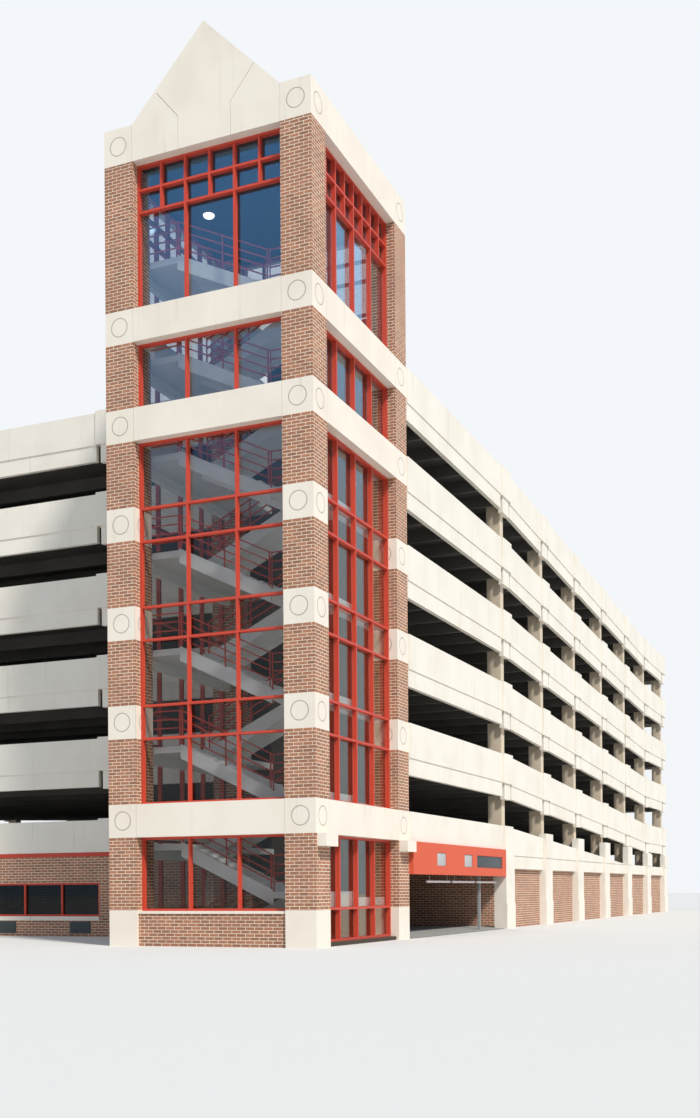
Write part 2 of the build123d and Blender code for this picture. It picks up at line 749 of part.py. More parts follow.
def stair():
    """Dog-leg stair from the ground to the landing above the roof deck, two flights a storey."""
    west_edge = -tower_width + band_thick + joint
    top_x = west_edge + landing_west
    low_x = -band_thick - joint - landing_east
    front_y = pier + joint
    back_y = front_y + flight_width + flight_gap

    landings = []
    beams = []
    flights = []
    strings = []
    rails = []
    posts = []
    door_y = tower_depth - rear_wall
    for k in range(2, levels + 2):
        upper = floor(k)
        middle_z = upper - storey / 2
        sill_x = -tower_width + pier
        deck = block(west_edge, top_x, front_y, tower_depth - pier - joint, upper - landing_thick, upper)
        deck += block(sill_x, top_x, tower_depth - pier - joint, door_y, upper - landing_thick, upper)
        if k <= levels:
            deck += block(sill_x, sill_x + doorway, door_y, tower_depth, upper - landing_thick, upper)
        landings.append(deck)
        landings.append(block(low_x, low_x + landing_east, front_y, back_y + flight_width,
                              middle_z - landing_thick, middle_z))
        for x, z in ((west_edge, upper), (low_x + landing_east - stair_beam, middle_z)):
            beams.append(block(x, x + stair_beam, pier, tower_depth - pier,
                               z - landing_thick - stair_beam_depth, z - landing_thick))
        for start_y, start_x, end_x, z0 in ((front_y, top_x, low_x, upper),
                                            (back_y, low_x, top_x, middle_z)):
            z1 = z0 - storey / 2
            flights.append(flight(start_x, end_x, z0, z1, start_y + string_thick,
                                  start_y + flight_width - string_thick))
            edge = [(start_x, z0 + string_rise - string_depth), (end_x, z1 + string_rise - string_depth),
                    (end_x, z1 + string_rise), (start_x, z0 + string_rise)]
            for y in (start_y, start_y + flight_width - string_thick):
                strings.append(above_ground_floor(along(edge, y, y + string_thick)))
            bars, uprights = railing(start_x, end_x, z0 + string_rise, z1 + string_rise, start_y)
            rails += bars
            posts += uprights
    emit("stair_landings", landings)
    emit("stair_beams", beams)
    emit("stair_flights", flights)
    emit("stair_strings", strings)
    emit("stair_rails", rails)
    emit("stair_rail_posts", posts)


def above_ground_floor(solid):
    """Cut off what would reach into the ground floor."""
    if solid.bounding_box().min.Z >= grade:
        return solid
    return solid - block(-tower_width, 0, 0, tower_depth, -storey, grade)


def flight(x0, x1, z0, z1, y0, y1):
    """Flight of steps from (x0, z0) down to (x1, z1), with a flat underside."""
    going = (x1 - x0) / (risers - 1)
    rise = (z0 - z1) / risers
    outline = []
    for i in range(1, risers):
        outline += [(x0 + going * (i - 1), z0 - rise * i), (x0 + going * i, z0 - rise * i)]
    outline += [(x1, z1 - waist), (x0, z0 - rise - waist)]
    return above_ground_floor(along(outline, y0, y1))


def railing(x0, x1, z0, z1, y):
    """Rails and posts of the railing over a string: the posts stand on it, the rails run past them."""
    slope = (z1 - z0) / (x1 - x0)
    inset = rail_post if x1 > x0 else -rail_post
    low_x, high_x = x0 + inset, x1 - inset
    bars = []
    for i in range(1, rail_count + 1):
        up = rail_height * i / rail_count
        ends = [(x, z0 + slope * (x - x0) + up) for x in (low_x, high_x)]
        bars.append(along(ends + [(x, z - rail) for x, z in reversed(ends)], y + rail_post,
                          y + rail_post + rail))
    uprights = []
    for edge in (low_x, (low_x + high_x - inset) / 2, high_x - inset):
        foot = [z0 + slope * (x - x0) for x in (edge, edge + inset)]
        top = min(foot) + rail_height
        uprights.append(along([(edge, foot[0]), (edge + inset, foot[1]), (edge + inset, top), (edge, top)],
                              y, y + rail_post))
    return bars, uprights


ground_and_decks()
long_side_spandrels()
short_side_spandrels()
column_covers()
columns()
middle_walls()
ground_storey()
curtain_walls()
tower_masonry()
tower_walls()
stair()
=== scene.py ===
"""Looks for the half-size parking garage with its brick and glass stair tower.

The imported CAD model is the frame: every node keeps its shape and gets its finish here, and the
pieces that belong to the looks alone are modelled on top of it. Lengths are metres of the
half-size model, and plan sizes are measured from the outer front corner of the tower.
"""

from __future__ import annotations

import logging
import math
from dataclasses import dataclass, field
from enum import Enum
from typing import Protocol

import bpy
from mathutils import Matrix, Vector


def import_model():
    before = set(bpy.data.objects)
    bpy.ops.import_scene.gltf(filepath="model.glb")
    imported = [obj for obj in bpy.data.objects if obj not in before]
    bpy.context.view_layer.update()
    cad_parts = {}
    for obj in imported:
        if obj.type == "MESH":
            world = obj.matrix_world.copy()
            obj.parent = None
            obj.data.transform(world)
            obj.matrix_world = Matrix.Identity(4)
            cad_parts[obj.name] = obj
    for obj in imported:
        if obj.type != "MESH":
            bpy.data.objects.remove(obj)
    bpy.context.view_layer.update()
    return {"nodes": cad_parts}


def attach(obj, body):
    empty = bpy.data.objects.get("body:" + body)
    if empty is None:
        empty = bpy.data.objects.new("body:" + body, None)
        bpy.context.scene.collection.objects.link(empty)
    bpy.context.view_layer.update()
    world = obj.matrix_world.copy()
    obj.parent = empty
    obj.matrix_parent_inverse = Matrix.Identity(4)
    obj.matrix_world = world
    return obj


LOG = logging.getLogger("garage")
Triple = tuple[float, float, float]
Colour = Triple
Range = tuple[float, float]

# Heights, with CORNICE_FOOT measured from the tower's floor, which lies at GRADE
GRADE = 0.06
STOREY = 1.525
LEVELS = 7
PARAPET = 0.6
BAND = 0.51
CORNICE_FOOT = 12.012
CORNICE = 0.56
GABLE_RISE = 1.262

# Plan of the tower, and the place of its outer front corner
TOWER_WIDTH = 3.54
TOWER_DEPTH = 3.81
PIER = 0.5
PLAN_X = 9.11
PLAN_Y = -14.905

SHARP_FOLD = math.radians(40.0)


class Look(Enum):
    """The finishes of the building, by what they are seen on."""

    PRECAST = "spandrels and covers"
    COLUMN = "columns behind the covers"
    STONE = "bands, sills and gables"
    ROUNDEL = "corner blocks"
    BRICK = "piers and infills"
    DECK = "parking decks"
    WALL = "walls between the ramps"
    STAIR = "flights and landings"
    INNER = "walls inside the tower"
    POST = "pole in the entrance"
    FASCIA = "board over the entrance"
    WHITE = "bars and lines"
    SIGN = "blank signs"
    ROOF = "roof of the tower"
    RED = "frames and railings"
    VENT = "vents and joints"
    LAMP = "ceiling lamp"
    GLASS = "panes of the tower"
    PANE = "panes of the front windows"


class Signal:
    """A shader socket that takes part in Python sums."""

    def __init__(self, graph: Graph, socket: bpy.types.NodeSocket) -> None:
        """Keep the graph and the socket.

        Args:
            graph: The node graph that owns the socket.
            socket: An output socket of a node in it.
        """
        self.graph = graph
        self.socket = socket

    def _with(self, operation: str, *others: object) -> Signal:
        """Return a Math node of this value and the others."""
        return self.graph.math(operation, self, *others)

    def __add__(self, other: object) -> Signal:
        """Return the sum."""
        return self._with("ADD", other)

    __radd__ = __add__

    def __sub__(self, other: object) -> Signal:
        """Return the difference."""
        return self._with("SUBTRACT", other)

    def __rsub__(self, other: object) -> Signal:
        """Return the difference the other way round."""
        return self.graph.math("SUBTRACT", other, self)

    def __mul__(self, other: object) -> Signal:
        """Return the product."""
        return self._with("MULTIPLY", other)

    __rmul__ = __mul__

    def __abs__(self) -> Signal:
        """Return the size without its sign."""
        return self._with("ABSOLUTE")

    def above(self, other: object) -> Signal:
        """Return 1 where this is greater than the other."""
        return self._with("GREATER_THAN", other)

    def below(self, other: object) -> Signal:
        """Return 1 where this is less than the other."""
        return self._with("LESS_THAN", other)

    def larger(self, other: object) -> Signal:
        """Return the greater of this and the other."""
        return self._with("MAXIMUM", other)

    def wrapped(self, low: float, high: float) -> Signal:
        """Return the value folded into a range that repeats."""
        return self._with("WRAP", high, low)

    def eased(self, low: float, high: float) -> Signal:
        """Return a smooth step from 0 at low to 1 at high."""
        values = {0: self, 1: low, 2: high}
        return self.graph.node("ShaderNodeMapRange", {"interpolation_type": "SMOOTHSTEP"}, values)

    def powered(self, exponent: float) -> Signal:
        """Return this value raised to a power."""
        return self._with("POWER", exponent)

    def rooted(self) -> Signal:
        """Return the square root."""
        return self._with("SQRT")


class Graph:
    """The node tree of one material."""

    def __init__(self, name: str) -> None:
        """Make a new material with an empty tree.

        Args:
            name: The material's name.
        """
        self.material = bpy.data.materials.new(name)
        self.material.use_nodes = True
        self.tree = self.material.node_tree
        self.tree.nodes.clear()

    def place(self, kind: str, settings: dict[str, object] | None = None) -> bpy.types.Node:
        """Add a node and set its options.

        Args:
            kind: The node's type.
            settings: Option names and their values.

        Returns:
            The new node.
        """
        node = self.tree.nodes.new(kind)
        for name, value in (settings or {}).items():
            setattr(node, name, value)
        return node

    def give(self, target: bpy.types.NodeSocket, value: object) -> None:
        """Link or set one input.

        Args:
            target: The input socket.
            value: A signal, a number or a colour.
        """
        if isinstance(value, Signal):
            self.tree.links.new(value.socket, target)
        elif target.type == "RGBA":
            target.default_value = (*value, 1.0)
        else:
            target.default_value = value

    def feed(self, node: bpy.types.Node, values: dict[int | str, object]) -> None:
        """Link or set the inputs of a node.

        Args:
            node: The node.
            values: Input names or numbers with a signal, number or colour for each.
        """
        for key, value in values.items():
            self.give(node.inputs[key], value)

    def node(
        self,
        kind: str,
        settings: dict[str, object] | None = None,
        values: dict[int | str, object] | None = None,
        output: int | str = 0,
    ) -> Signal:
        """Add a node with its options and inputs.

        Args:
            kind: The node's type.
            settings: Option names and their values.
            values: Values or links of its inputs.
            output: The output to return.

        Returns:
            The chosen output as a signal.
        """
        made = self.place(kind, settings)
        self.feed(made, values or {})
        return Signal(self, made.outputs[output])

    def math(self, operation: str, *values: object) -> Signal:
        """Return a Math node on one to three values."""
        return self.node("ShaderNodeMath", {"operation": operation}, dict(enumerate(values)))

    def blend(self, share: object, low: object, high: object) -> Signal:
        """Mix two colours.

        Args:
            share: How much of the second colour shows.
            low: The colour at 0.
            high: The colour at 1.

        Returns:
            The mixed colour.
        """
        node = self.place("ShaderNodeMix", {"data_type": "RGBA", "clamp_factor": True})
        self.feed(node, {0: share})
        colours = [socket for socket in node.inputs if socket.type == "RGBA"]
        for socket, value in zip(colours, (low, high)):
            self.give(socket, value)
        mixed = [socket for socket in node.outputs if socket.type == "RGBA"]
        return Signal(self, mixed[0])

    def split(self, kind: str, output: str) -> tuple[Signal, Signal, Signal]:
        """Add a node and take one of its vectors apart.

        Args:
            kind: The node's type.
            output: The name of its vector output.

        Returns:
            The three parts of the vector.
        """
        vector = self.node(kind, output=output)
        parts = self.place("ShaderNodeSeparateXYZ")
        self.give(parts.inputs[0], vector)
        return tuple(Signal(self, socket) for socket in parts.outputs)

    def place_xyz(self) -> tuple[Signal, Signal, Signal]:
        """Return the three Object coordinates."""
        return self.split("ShaderNodeTexCoord", "Object")

    def normal_xyz(self) -> tuple[Signal, Signal, Signal]:
        """Return the three parts of the face's own normal."""
        return self.split("ShaderNodeNewGeometry", "True Normal")

    def sideways(self) -> Signal:
        """Return 1 where a face looks along X rather than along Y."""
        x, y, _ = self.normal_xyz()
        return abs(x).above(abs(y))

    def joined(self, x: object, y: object, z: object) -> Signal:
        """Return a vector of three values."""
        return self.node("ShaderNodeCombineXYZ", {}, {0: x, 1: y, 2: z})

    def noise(self, scale: float, detail: float = 3.0, stretch: Triple = (1.0, 1.0, 1.0)) -> Signal:
        """Return noise on Object coordinates.

        Args:
            scale: Number of patches in a metre.
            detail: How many finer layers are added.
            stretch: How much each axis is multiplied first.

        Returns:
            The noise, about 0.5 on average.
        """
        x, y, z = self.place_xyz()
        vector = self.joined(x * stretch[0], y * stretch[1], z * stretch[2])
        values = {"Vector": vector, "Scale": scale, "Detail": detail}
        return self.node("ShaderNodeTexNoise", {}, values)

    def bumped(self, height: Signal, depth: float, strength: float = 1.0) -> Signal:
        """Return a normal that a height bends."""
        values = {"Height": height, "Distance": depth, "Strength": strength}
        return self.node("ShaderNodeBump", {}, values)

    def finished(self, **inputs: object) -> bpy.types.Material:
        """Close the graph with a Principled shader.

        Args:
            **inputs: Its inputs, with an underscore for each space in a name.

        Returns:
            The material.
        """
        shader = self.place("ShaderNodeBsdfPrincipled")
        self.feed(shader, {name.replace("_", " "): value for name, value in inputs.items()})
        out = self.place("ShaderNodeOutputMaterial")
        self.tree.links.new(shader.outputs[0], out.inputs[0])
        return self.material


class Finish(Protocol):
    """What every finish can do."""

    def build(self) -> bpy.types.Material:
        """Return the material."""


@dataclass(frozen=True)
class PrecastFinish:
    """Cream precast concrete with a light sandblast, faint clouds and rain streaks."""

    name: str = "cream_precast"
    colour: Colour = (0.81, 0.755, 0.66)
    dark: Colour = (0.70, 0.64, 0.54)
    streak: Colour = (0.49, 0.43, 0.35)
    cloud_scale: float = 1.3
    cloud_range: Range = (0.35, 0.75)
    cloud_share: float = 0.55
    grain_scale: float = 60.0
    grain_range: Range = (0.3, 0.7)
    grain_share: float = 0.16
    rain_scale: float = 9.0
    rain_stretch: Triple = (1.0, 1.0, 0.06)
    rain_range: Range = (0.58, 0.80)
    rain_share: float = 0.28
    pit_scale: float = 180.0
    pit_depth: float = 0.0012
    pit_strength: float = 0.5
    roughness: float = 0.82

    def shade(self, graph: Graph) -> Signal:
        """Lay clouds, fine grains and rain streaks over the plain colour.

        Args:
            graph: The material's graph.

        Returns:
            The colour at each place.
        """
        clouds = graph.noise(self.cloud_scale, detail=4.0).eased(*self.cloud_range)
        grains = graph.noise(self.grain_scale, detail=2.0).eased(*self.grain_range)
        rain = graph.noise(self.rain_scale, 2.0, self.rain_stretch).eased(*self.rain_range)
        base = graph.blend(clouds * self.cloud_share, self.colour, self.dark)
        base = graph.blend(grains * self.grain_share, base, self.dark)
        return graph.blend(rain * self.rain_share, base, self.streak)

    def build(self) -> bpy.types.Material:
        """Shade the concrete over fine pits.

        Returns:
            The material.
        """
        graph = Graph(self.name)
        colour = self.shade(graph)
        pits = graph.noise(self.pit_scale, detail=2.0)
        normal = graph.bumped(pits, self.pit_depth, self.pit_strength)
        return graph.finished(Base_Color=colour, Roughness=self.roughness, Normal=normal)


@dataclass(frozen=True)
class RoundelFinish(PrecastFinish):
    """The tower's stone, with a circle cut into each face of the corner blocks and painted shade in
    its groove.
    """

    name: str = "roundel_stone"
    groove_shade_and_joint_colour: Colour = (0.16, 0.12, 0.09)
    groove_shade_share: float = 0.50
    groove_depth: float = 0.008
    groove_strength: float = 0.8
    radius: float = 0.142
    line: float = 0.0105
    line_core: float = 0.45
    joint: float = 0.004
    joint_share: float = 0.70
    lowest: float = GRADE + STOREY + PARAPET - BAND / 2
    cornice: float = GRADE + CORNICE_FOOT + CORNICE / 2
    cornice_reach: float = 0.3
    centre_x: float = PLAN_X - TOWER_WIDTH / 2
    centre_y: float = PLAN_Y + TOWER_DEPTH / 2

    def build(self) -> bpy.types.Material:
        """Cut the circle into the stone with a bump, paint shade into its groove, and darken the
        joint.

        Returns:
            The material.
        """
        graph = Graph(self.name)
        x, y, z = graph.place_xyz()
        sideways = graph.sideways()
        across = abs(x - self.centre_x) - (TOWER_WIDTH - PIER) / 2
        back = abs(y - self.centre_y) - (TOWER_DEPTH - PIER) / 2
        flat = across + (back - across) * sideways
        storeys = (z - self.lowest).wrapped(-STOREY / 2, STOREY / 2)
        top = z.above(self.cornice - self.cornice_reach)
        rise = storeys + (z - self.cornice - storeys) * top
        reach = (flat * flat + rise * rise).rooted()
        away = abs(reach - self.radius)
        groove = 1.0 - away.eased(self.line * self.line_core, self.line)
        seam = flat.below(self.joint - PIER / 2)
        # Painted shade: the circle's groove is darkened as if in its own shadow; the joint is a
        # dark joint.
        marks = (groove * self.groove_shade_share).larger(seam * self.joint_share)
        colour = graph.blend(marks, self.shade(graph), self.groove_shade_and_joint_colour)
        normal = graph.bumped(1.0 - groove, self.groove_depth, self.groove_strength)
        return graph.finished(Base_Color=colour, Roughness=self.roughness, Normal=normal)


@dataclass(frozen=True)
class BrickFinish:
    """Brown running bond brick, long and low, with wide pale mortar."""

    name: str = "brown_brick"
    red: Colour = (0.44, 0.188, 0.102)
    brown: Colour = (0.28, 0.128, 0.075)
    mortar: Colour = (0.88, 0.77, 0.60)
    length: float = 0.1524
    course: float = 0.0508
    bed: float = 0.0046
    softness: float = 0.15
    patch_scale: float = 2.2
    patch_range: Range = (0.35, 0.7)
    patch_share: float = 0.22
    joint_depth: float = 0.004
    joint_strength: float = 0.7
    roughness: float = 0.88

    def build(self) -> bpy.types.Material:
        """Lay the bricks along each face at their real course.

        Returns:
            The material.
        """
        graph = Graph(self.name)
        x, y, z = graph.place_xyz()
        run = x + (y - x) * graph.sideways()
        pattern = graph.place("ShaderNodeTexBrick", {"offset": 0.5, "squash": 1.0})
        graph.feed(pattern, {
            "Vector": graph.joined(run, z, 0.0),
            "Color1": self.red,
            "Color2": self.brown,
            "Mortar": self.mortar,
            "Scale": 1.0,
            "Mortar Size": self.bed,
            "Mortar Smooth": self.softness,
            "Bias": 0.0,
            "Brick Width": self.length,
            "Row Height": self.course,
        })
        joints = Signal(graph, pattern.outputs["Fac"])
        bricks = Signal(graph, pattern.outputs["Color"])
        patches = graph.noise(self.patch_scale).eased(*self.patch_range)
        colour = graph.blend(patches * self.patch_share, bricks, self.brown)
        normal = graph.bumped(1.0 - joints, self.joint_depth, self.joint_strength)
        return graph.finished(Base_Color=colour, Roughness=self.roughness, Normal=normal)


@dataclass(frozen=True)
class DeckFinish:
    """Grey cast concrete of the decks, paler on the faces that look up."""

    name: str = "deck_concrete"
    colour: Colour = (0.115, 0.107, 0.095)
    dark: Colour = (0.07, 0.066, 0.060)
    # The colour of the faces that look up.
    worn: Colour = (0.36, 0.35, 0.32)
    top_face_share: float = 0.75
    upward: float = 0.5
    cloud_scale: float = 0.9
    cloud_range: Range = (0.35, 0.7)
    cloud_share: float = 0.6
    spot_scale: float = 4.5
    spot_range: Range = (0.60, 0.78)
    spot_share: float = 0.35
    grain_scale: float = 45.0
    grain_depth: float = 0.002
    grain_strength: float = 0.4
    roughness: float = 0.86

    def build(self) -> bpy.types.Material:
        """Cloud and spot the concrete, and pale the faces that look up.

        Returns:
            The material.
        """
        graph = Graph(self.name)
        _, _, up = graph.normal_xyz()
        clouds = graph.noise(self.cloud_scale, detail=5.0).eased(*self.cloud_range)
        spots = graph.noise(self.spot_scale, detail=2.0).eased(*self.spot_range)
        grains = graph.noise(self.grain_scale, detail=2.0)
        base = graph.blend(clouds * self.cloud_share, self.colour, self.dark)
        # Faces that look up take the paler colour; all others keep the dark concrete.
        base = graph.blend(up.above(self.upward) * self.top_face_share, base, self.worn)
        base = graph.blend(spots * self.spot_share, base, self.dark)
        normal = graph.bumped(grains, self.grain_depth, self.grain_strength)
        return graph.finished(Base_Color=base, Roughness=self.roughness, Normal=normal)


@dataclass(frozen=True)
class PaintFinish:
    """Smooth paint on metal or plaster, with a little wear."""

    name: str
    colour: Colour
    worn: Colour
    roughness: float = 0.42
    metallic: float = 0.0
    shine: float = 0.5
    dust_scale: float = 3.5
    dust_range: Range = (0.45, 0.8)
    dust_share: float = 0.35
    smear_scale: float = 14.0
    smear: float = 0.16

    def build(self) -> bpy.types.Material:
        """Dull the paint with dust and smears.

        Returns:
            The material.
        """
        graph = Graph(self.name)
        dust = graph.noise(self.dust_scale, detail=4.0).eased(*self.dust_range)
        colour = graph.blend(dust * self.dust_share, self.colour, self.worn)
        smears = graph.noise(self.smear_scale, detail=2.0) * self.smear
        return graph.finished(
            Base_Color=colour,
            Roughness=smears + (self.roughness - self.smear / 2),
            Metallic=self.metallic,
            Specular_IOR_Level=self.shine,
        )


@dataclass(frozen=True)
class GlassFinish:
    """Coated glass, clear from the front and a mirror at a slant, with a painted reflection by
    height: warm on the lower panes, sky blue higher up.
    """

    name: str = "coated_glass"
    plain: Colour = (0.17, 0.42, 0.68)
    plain_low_reflection: Colour = (0.10, 0.085, 0.07)
    bright: Colour = (0.62, 0.86, 1.0)
    bright_low_reflection: Colour = (1.0, 0.80, 0.58)
    reflection_foot: float = GRADE + 5.0
    reflection_top: float = GRADE + 12.0
    cover: float = 0.12
    slant: float = 2.1
    facing: float = 0.5
    falloff: float = 5.0
    least: float = 0.04
    full: float = 0.20
    ripple_scale: float = 1.1
    ripple: float = 0.03
    roughness: float = 0.015

    def build(self) -> bpy.types.Material:
        """Turn from clear to mirror with the slant, and from a warm painted reflection to a blue
        painted sky reflection with the height.

        Returns:
            The material.
        """
        graph = Graph(self.name)
        rough = graph.noise(self.ripple_scale, detail=2.0) * self.ripple + self.roughness
        turned = graph.node("ShaderNodeLayerWeight", {}, {"Blend": self.facing}, "Facing")
        edge = turned.powered(self.falloff) * (1.0 - self.least) + self.least
        # Painted reflection: the tint goes from warm at the foot to sky blue at the top, by height
        # alone.
        _, _, z = graph.place_xyz()
        rise = z.eased(self.reflection_foot, self.reflection_top)
        front = graph.blend(rise, self.plain_low_reflection, self.plain)
        slant = graph.blend(rise, self.bright_low_reflection, self.bright)
        colour = graph.blend(edge.eased(self.least, self.full), front, slant)
        return graph.finished(
            Base_Color=colour, Roughness=rough, Metallic=1.0, Alpha=edge * self.slant + self.cover
        )


@dataclass(frozen=True)
class LampFinish:
    """White lamp cover that glows a little."""

    name: str = "lamp_cover"
    colour: Colour = (0.9, 0.88, 0.82)
    yellowed: Colour = (0.84, 0.78, 0.64)
    patch_scale: float = 6.0
    patch_share: float = 0.3
    roughness: float = 0.35
    glow: float = 2.5

    def build(self) -> bpy.types.Material:
        """Yellow the cover in patches and let it glow.

        Returns:
            The material.
        """
        graph = Graph(self.name)
        patches = graph.noise(self.patch_scale, detail=2.0) * self.patch_share
        colour = graph.blend(patches, self.colour, self.yellowed)
        return graph.finished(
            Base_Color=colour,
            Roughness=self.roughness,
            Emission_Color=colour,
            Emission_Strength=self.glow,
        )


STONE: tuple[Colour, Colour, Colour] = ((0.82, 0.745, 0.64), (0.72, 0.64, 0.53), (0.50, 0.43, 0.34))


class Finishes:
    """All materials of the object, and which CAD node takes which."""

    KINDS: dict[Look, Finish] = {
        Look.PRECAST: PrecastFinish(),
        Look.STONE: PrecastFinish("tower_stone", *STONE),
        Look.ROUNDEL: RoundelFinish("roundel_stone", *STONE),
        Look.BRICK: BrickFinish(),
        Look.DECK: DeckFinish(),
        Look.STAIR: PaintFinish("stair_paint", (0.86, 0.89, 0.86), (0.74, 0.77, 0.74), 0.6),
        Look.ROOF: PaintFinish("roof_metal", (0.13, 0.14, 0.15), (0.20, 0.20, 0.20), 0.45, 0.6),
        Look.COLUMN: PrecastFinish(
            "column_concrete", (0.66, 0.55, 0.41), (0.54, 0.44, 0.32), (0.40, 0.33, 0.25)
        ),
        Look.WALL: PrecastFinish(
            "wall_concrete", (0.36, 0.34, 0.31), (0.28, 0.265, 0.24), (0.20, 0.19, 0.17)
        ),
        Look.INNER: PaintFinish(
            "inner_plaster", (0.080, 0.060, 0.045), (0.058, 0.045, 0.035), 0.8, shine=0.1
        ),
        Look.WHITE: PaintFinish("white_paint", (0.80, 0.80, 0.78), (0.62, 0.61, 0.58), 0.4),
        Look.RED: PaintFinish(
            "red_paint", (0.55, 0.060, 0.032), (0.45, 0.060, 0.038), 0.45, shine=0.3
        ),
        # The fascia has the frames' red paint; its brighter, more orange red is a painted highlight
        # of the sun on it.
        Look.FASCIA: PaintFinish(
            "fascia_sunlit_red", (0.66, 0.110, 0.052), (0.56, 0.10, 0.055), 0.6, shine=0.2
        ),
        Look.POST: PaintFinish("post_paint", (0.30, 0.31, 0.31), (0.22, 0.22, 0.22), 0.5),
        Look.SIGN: PaintFinish("sign_paint", (0.46, 0.46, 0.44), (0.36, 0.36, 0.34), 0.4),
        Look.VENT: PaintFinish("vent_metal_and_joint_shade", (0.052, 0.058, 0.056), (0.085, 0.085, 0.08), 0.5),
        Look.LAMP: LampFinish(),
        Look.GLASS: GlassFinish(),
        # The front windows take the same painted reflection by height, which stays at its warm foot
        # this low.
        Look.PANE: GlassFinish(
            "window_glass",
            plain=(0.04, 0.045, 0.05),
            plain_low_reflection=(0.04, 0.04, 0.04),
            bright=(0.34, 0.38, 0.42),
            bright_low_reflection=(0.40, 0.36, 0.32),
            cover=0.32,
        ),
    }
    NODES: dict[Look, tuple[str, ...]] = {
        Look.PRECAST: (
            "east_spandrels", "west_spandrels", "front_spandrels", "rear_spandrels",
            "column_covers", "pilasters", "roof_guard",
        ),
        Look.COLUMN: ("facade_columns",),
        Look.STONE: (
            "tower_bands", "tower_pier_feet", "front_gable", "rear_gable", "pier_corbels",
            "front_window_sills", "tower_sills",
        ),
        Look.ROUNDEL: ("tower_corner_blocks",),
        Look.BRICK: (
            "tower_brick_piers", "brick_infills", "front_brick_wall", "tower_base_walls",
            "entrance_side_wall",
        ),
        Look.DECK: (
            "ground_floor", "front_crossover_decks", "front_edge_decks", "east_ramp_decks",
            "west_ramp_decks", "rear_crossover_decks",
        ),
        Look.WALL: ("middle_columns", "middle_walls"),
        Look.STAIR: ("stair_strings", "stair_flights", "stair_landings", "stair_beams"),
        Look.INNER: ("tower_rear_wall", "tower_door_heads", "tower_ceiling", "tower_floor"),
        Look.POST: ("entrance_post",),
        Look.FASCIA: ("entrance_fascia",),
        Look.ROOF: ("tower_roof",),
        Look.RED: (
            "front_curtain_frames", "east_curtain_frames", "west_curtain_frames",
            "rear_curtain_frame", "front_window_frames", "front_trim", "stair_rails",
            "stair_rail_posts",
        ),
        Look.VENT: ("wall_vents",),
        Look.GLASS: (
            "front_curtain_glass", "east_curtain_glass", "west_curtain_glass",
            "rear_curtain_glass",
        ),
        Look.PANE: ("front_window_glass",),
    }

    def __init__(self) -> None:
        """Build every material once."""
        self.made: dict[Look, bpy.types.Material] = {
            look: finish.build() for look, finish in self.KINDS.items()
        }

    def dress_nodes(self, nodes: dict[str, bpy.types.Object]) -> int:
        """Give every CAD node its material.

        Args:
            nodes: The frame's nodes by name.

        Returns:
            The number of nodes dressed.
        """
        finish_of = {node: look for look, names in self.NODES.items() for node in names}
        for name, item in nodes.items():
            if name not in finish_of:
                LOG.warning("no finish for %s", name)
            wear(item, self.made[finish_of.get(name, Look.DECK)])
        return len(nodes)


def wear(item: bpy.types.Object, material: bpy.types.Material) -> None:
    """Make a material the only one on an object."""
    item.data.materials.clear()
    item.data.materials.append(material)


def deselect() -> None:
    """Leave nothing selected, in object mode."""
    if bpy.context.object and bpy.context.object.mode != "OBJECT":
        bpy.ops.object.mode_set(mode="OBJECT")
    bpy.ops.object.select_all(action="DESELECT")


def rounded(item: bpy.types.Object, edge: float) -> bpy.types.Object:
    """Ease the sharp edges of a piece with a bevel, and shade it smooth between its sharp folds.

    Args:
        item: The piece.
        edge: How far the bevel reaches from each edge.

    Returns:
        The same piece.
    """
    bevel = item.modifiers.new("eased_edges", "BEVEL")
    bevel.width = edge
    bevel.segments = 2
    bevel.limit_method = "ANGLE"
    bevel.angle_limit = SHARP_FOLD
    deselect()
    item.select_set(True)
    bpy.context.view_layer.objects.active = item
    bpy.ops.object.modifier_apply(modifier=bevel.name)
    bpy.ops.object.shade_smooth_by_angle(angle=SHARP_FOLD)
    return item


def bar(name: str, low: Vector, high: Vector, edge: float = 0.001) -> bpy.types.Object:
    """Add a bar with eased edges between two corners, with its place in its mesh.

    Args:
        name: The object's name.
        low: The lowest corner.
        high: The highest corner.
        edge: How far its edges are eased.

    Returns:
        The bar.
    """
    deselect()
    bpy.ops.mesh.primitive_cube_add(size=1.0, location=(low + high) / 2)
    item = bpy.context.object
    item.name = name
    item.scale = high - low
    bpy.ops.object.transform_apply(location=True, rotation=True, scale=True)
    return rounded(item, edge)


def copies(item: bpy.types.Object, steps: list[Vector]) -> list[bpy.types.Object]:
    """Copy a piece, each copy with its own mesh.

    Args:
        item: The piece.
        steps: How far each copy lies from it.

    Returns:
        The copies.
    """
    twins = []
    for step in steps:
        twin = item.copy()
        twin.data = item.data.copy()
        twin.data.transform(Matrix.Translation(step))
        bpy.context.scene.collection.objects.link(twin)
        twins.append(twin)
    return twins


def plan(x: float, y: float, z: float) -> Vector:
    """Return a point of the shared frame from plan sizes measured at the tower's corner."""
    return Vector((x + PLAN_X, y + PLAN_Y, z))


def together(name: str, items: list[bpy.types.Object]) -> bpy.types.Object:
    """Join several meshes into one object.

    Args:
        name: The joined object's name.
        items: The meshes, of which the first keeps its object.

    Returns:
        The joined object.
    """
    deselect()
    for item in items:
        item.select_set(True)
    bpy.context.view_layer.objects.active = items[0]
    if len(items) > 1:
        bpy.ops.object.join()
    items[0].name = name
    return items[0]


def keep(item: bpy.types.Object, material: bpy.types.Material) -> bpy.types.Object:
    """Dress a finished piece and fix it to the building.

    Args:
        item: The piece.
        material: Its material.

    Returns:
        The same piece.
    """
    wear(item, material)
    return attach(item, "root")


